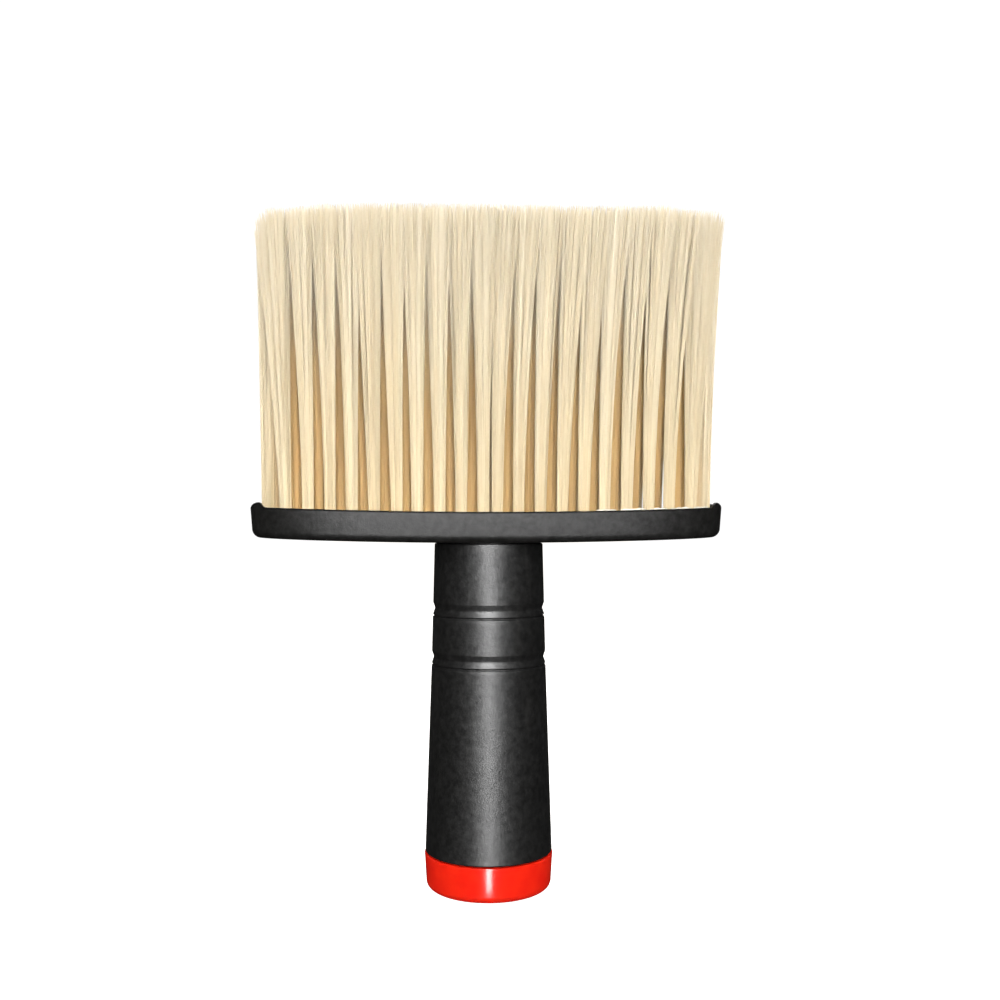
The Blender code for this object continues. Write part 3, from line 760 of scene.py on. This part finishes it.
def filament_mesh(name, lines, tones, depths):
    """Closed thin tubes along the lines, with tone, painted shade and the share of the way along as
    attributes.
    """
    count, stations = lines.shape[:2]
    sides = FILAMENT_SIDES
    along = np.concatenate([[0.0], STATIONS])
    radius = FILAMENT_RADIUS * (1 - FILAMENT_TAPER * along) * np.where(along > 0.99, FILAMENT_END_SHARE, 1.0)
    turn = 2 * math.pi * (np.arange(sides)[None] / sides + tones[:, None] * 7)
    ring = np.stack([np.cos(turn), np.sin(turn), np.zeros_like(turn)], axis=2)
    points = lines[:, :, None] + ring[:, None] * radius[None, :, None, None]
    starts = (np.arange(count) * stations * sides)[:, None, None]
    levels = starts + (np.arange(stations - 1) * sides)[None, :, None]
    here, following = levels + np.arange(sides), levels + (np.arange(sides) + 1) % sides
    walls = np.stack([here, following, following + sides, here + sides], axis=3).reshape(-1, 4)
    bottoms = (starts[:, :, 0] + np.arange(sides)[::-1]).reshape(-1, sides)
    tops = (starts[:, :, 0] + (stations - 1) * sides + np.arange(sides)).reshape(-1, sides)
    mesh = mesh_from_arrays(name, points.reshape(-1, 3), (walls, bottoms, tops))
    along = np.tile(np.repeat(along, sides), count)
    # Painted shade for filaments deep inside the brush, fading out towards the tips
    painted_shade = np.repeat(depths, stations * sides) * (1 - blend_step(*PAINTED_SHADE_FADES, along))
    for key, values in (("tone", np.repeat(tones, stations * sides)), ("along", along), ("painted_shade", painted_shade)):
        attribute = mesh.attributes.new(key, "FLOAT", "POINT")
        attribute.data.foreach_set("value", values.astype(np.float32))
    mesh.shade_smooth()
    return mesh


def tuft_nodes():
    return sorted(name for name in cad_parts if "tuft_" in name and name != "tuft_plate")


def build_tufts(material):
    top = cad_box[1].z
    single = [name for name in tuft_nodes() if name != "middle_tuft_row"]
    for number, name in enumerate(single):
        foot = placed_feet(name)[0]
        crown, half_size = crown_of(name)
        half_size = half_size * CROWN_OVERLAP
        outward = math.copysign(1.0, foot[0])
        root_radius = ROOT_RADIUS
        if name.startswith("end"):
            root_radius = END_ROOT_RADIUS
            crown[0] -= END_CROWN_INSET * outward
        elif name.endswith(("_01", "_20")):
            crown[0] += CORNER_REACH * outward - CORNER_SETBACK
            half_size[0] += CORNER_WIDENING
        shape = (half_size, top, FILAMENTS_PER_TUFT, root_radius, LOCK_PULL)
        made = tuft(foot, crown, *shape, TUFT_SEED + number)
        piece = new_object(name + "_filaments", filament_mesh(name, *made), material)
        as_piece(piece, "bristle", name)
    made = []
    for number, foot in enumerate(placed_feet("middle_tuft_row")):
        crown = (foot[0] * CROWN_SPREAD, 0.0)
        shape = (MIDDLE_CROWN_HALF_SIZE, top, FILAMENTS_PER_INNER_TUFT, INNER_ROOT_RADIUS, INNER_LOCK_PULL)
        made.append(tuft(foot, crown, *shape, MIDDLE_TUFT_SEED + number))
    mesh = filament_mesh("middle_row", *(np.concatenate(values) for values in zip(*made)))
    as_piece(new_object("middle_row_filaments", mesh, material), "bristle", "middle_tuft_row")


# Glue


def add_tube(bm, centres, radii, sides=8):
    """A closed tube through the centres in a bmesh, round in the YZ plane."""
    rings = []
    for centre, radius in zip(centres, radii):
        ring = []
        for i in range(sides):
            angle = 2 * math.pi * i / sides
            ring.append(bm.verts.new(centre + Vector((0, math.cos(angle), math.sin(angle))) * radius))
        rings.append(ring)
    for ring, following in zip(rings, rings[1:]):
        for i in range(sides):
            j = (i + 1) % sides
            bm.faces.new((ring[i], ring[j], following[j], following[i]))
    bm.faces.new(rings[0])
    bm.faces.new(rings[-1])


def build_glue_beads(material):
    """Lumpy traces of glue along the inner edge of the tray's rim."""
    rng = np.random.default_rng(GLUE_SEED)
    xs, depths = zip(*tray_outline(TRAY_WALL - GLUE_INSET))
    bm = bmesh.new()
    for start, end, side in GLUE_RUNS:
        along = np.linspace(start, end, 26)
        lumps = np.interp(along, np.linspace(start, end, 9), rng.uniform(0.25, 1.0, 9))
        taper = np.sin(np.linspace(0.12, math.pi - 0.12, len(along))) ** 0.5
        centres = []
        for x in along:
            y = side * float(np.interp(x, xs, depths))
            rim = TRAY_BOTTOM + TRAY_HEIGHT + tray_lift(x, TRAY_HEIGHT)
            centres.append(Vector((x, y, rim + GLUE_LIFT)))
        add_tube(bm, centres, GLUE_RADIUS * lumps * taper)
    as_piece(new_object("glue_beads", mesh_of("glue_beads", bm), material), "adhesive")


def build_glue_collars(material):
    """A low uneven collar of glue round each tuft, where it leaves the plate."""
    rng = np.random.default_rng(GLUE_COLLAR_SEED)
    bm = bmesh.new()
    plate_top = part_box("tuft_plate")[1].z - TRAY_BEND_RISE
    sides = GLUE_COLLAR_SIDES
    for name, foot in [(name, foot) for name in tuft_nodes() for foot in placed_feet(name)]:
        floor = plate_top + tray_lift(foot[0], 0.0)
        radius = END_COLLAR_RADIUS if name.startswith("end") else GLUE_COLLAR_RADIUS
        angles = 2 * math.pi * np.arange(sides) / sides
        reach = radius * rng.uniform(0.86, 1.0, sides)
        across, outwards = reach * np.cos(angles), reach * np.sin(angles)
        rings = []
        for share, lift in GLUE_COLLAR_RINGS:
            corners = zip(foot[0] + share * across, foot[1] + share * outwards)
            rings.append([bm.verts.new((x, y, floor + lift)) for x, y in corners])
        for ring, following in zip(rings, rings[1:] + rings[:1]):
            for i in range(sides):
                j = (i + 1) % sides
                bm.faces.new((ring[i], ring[j], following[j], following[i]))
    as_piece(new_object("glue_collars", mesh_of("glue_collars", bm, 60), material), "adhesive")


# Stage


def build_stage():
    """A pale floor that glows enough to look white and takes no shadow or reflection onto the brush."""
    shader = Shader("floor", Roughness=0.8)
    shader.principled.inputs["Emission Color"].default_value = (1.0, 1.0, 1.0, 1.0)
    shader.principled.inputs["Emission Strength"].default_value = FLOOR_GLOW
    shade = shader.noise(0.4, detail=2.0)
    shader.to("Base Color", shader.mix(shade, (0.90, 0.90, 0.90), (0.93, 0.93, 0.93)))
    bm = bmesh.new()
    bmesh.ops.create_circle(bm, cap_ends=True, segments=96, radius=FLOOR_RADIUS)
    floor = new_object("floor", mesh_of("floor", bm), shader.material)
    floor.location.z = -FLOOR_DROP
    floor.visible_glossy = False
    floor.visible_diffuse = False
    floor.visible_shadow = False


def build_world():
    """White where the camera looks past the brush, a warm fill on what is matt, and dark in reflections."""
    world = bpy.data.worlds.new("studio")
    bpy.context.scene.world = world
    world.use_nodes = True
    nodes, links = world.node_tree.nodes, world.node_tree.links
    path = nodes.new("ShaderNodeLightPath")
    result = None
    for ray, colour in (("Is Diffuse Ray", (0.38, 0.345, 0.275)), ("Is Camera Ray", (1.05, 1.05, 1.05))):
        mix = nodes.new("ShaderNodeMix")
        mix.data_type = "RGBA"
        links.new(path.outputs[ray], mix.inputs["Factor"])
        mix.inputs[6].default_value = (0.012, 0.012, 0.012, 1.0)
        if result:
            links.new(result, mix.inputs[6])
        mix.inputs[7].default_value = (*colour, 1.0)
        result = mix.outputs[2]
    links.new(result, nodes["Background"].inputs["Color"])


def add_light(name, place, size, power, mirrored):
    """An area light aimed at the brush, seen either only in reflections or only by what it lights."""
    data = bpy.data.lights.new(name, "AREA")
    data.shape = "RECTANGLE"
    data.size, data.size_y = size
    data.energy = power
    light = bpy.data.objects.new(name, data)
    light.location = place
    direction = Vector(LIGHTS_AIM) - Vector(place)
    light.rotation_euler = direction.to_track_quat("-Z", "Y").to_euler()
    light.visible_camera = False
    light.visible_glossy = mirrored
    light.visible_diffuse = not mirrored
    bpy.context.scene.collection.objects.link(light)


def build_lights():
    """Strips and panels that draw the highlights, and soft lights on all sides for what is matt."""
    add_light("strip", (-0.04, -0.85, 0.165), (0.13, 1.05), 17.0, mirrored=True)
    add_light("high_panel", (-0.04, -0.62, 0.62), (0.18, 0.45), 13.0, mirrored=True)
    add_light("front", (0.0, -0.42, 0.135), (0.11, 0.11), 1.95, mirrored=False)
    add_light("front_left", (-0.7, -1.0, 0.4), (0.9, 0.9), 1.0, mirrored=False)
    add_light("top", (0.0, -0.2, 1.3), (1.4, 1.4), 6.0, mirrored=False)
    add_light("back_left", (-0.8, 0.6, 0.3), (0.7, 0.7), 4.0, mirrored=False)
    add_light("back_right", (0.8, 0.6, 0.3), (0.7, 0.7), 4.0, mirrored=False)
    add_light("back_panel", (0.05, 0.62, 0.55), (0.25, 0.5), 14.0, mirrored=True)


def build_camera():
    """Almost straight in front, a little to the left and turned slightly past the brush's middle."""
    data = bpy.data.cameras.new("camera")
    data.lens = CAMERA_LENS
    data.sensor_width = CAMERA_SENSOR
    camera = bpy.data.objects.new("camera", data)
    x = CAMERA_DISTANCE * math.sin(CAMERA_AZIMUTH)
    camera.location = (x, -CAMERA_DISTANCE * math.cos(CAMERA_AZIMUTH), CAMERA_HEIGHT)
    heading = CAMERA_TURN_RIGHT - CAMERA_AZIMUTH
    direction = Vector((math.sin(heading), math.cos(heading), math.tan(CAMERA_TILT_UP)))
    camera.rotation_euler = direction.to_track_quat("-Z", "Y").to_euler()
    bpy.context.scene.collection.objects.link(camera)
    bpy.context.scene.camera = camera


def main():
    glue, steel = adhesive(), zinc_steel()
    build_grip(black_plastic("grip_plastic", 0.5, 0.005))
    build_end_cap(red_plastic())
    build_tray(black_plastic("tray_plastic", 0.19, 0.009))
    build_tufts(bristle())
    build_glue_beads(glue)
    build_glue_collars(glue)
    for name, material in (
        ("tuft_plate", plate_plastic()),
        ("adhesive_bed", glue),
        ("screw_washer", steel),
        ("head_screw", steel),
    ):
        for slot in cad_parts[name].material_slots:
            slot.material = material
    build_stage()
    build_world()
    build_lights()
    build_camera()
    bpy.context.scene.view_settings.view_transform = "Standard"


main()
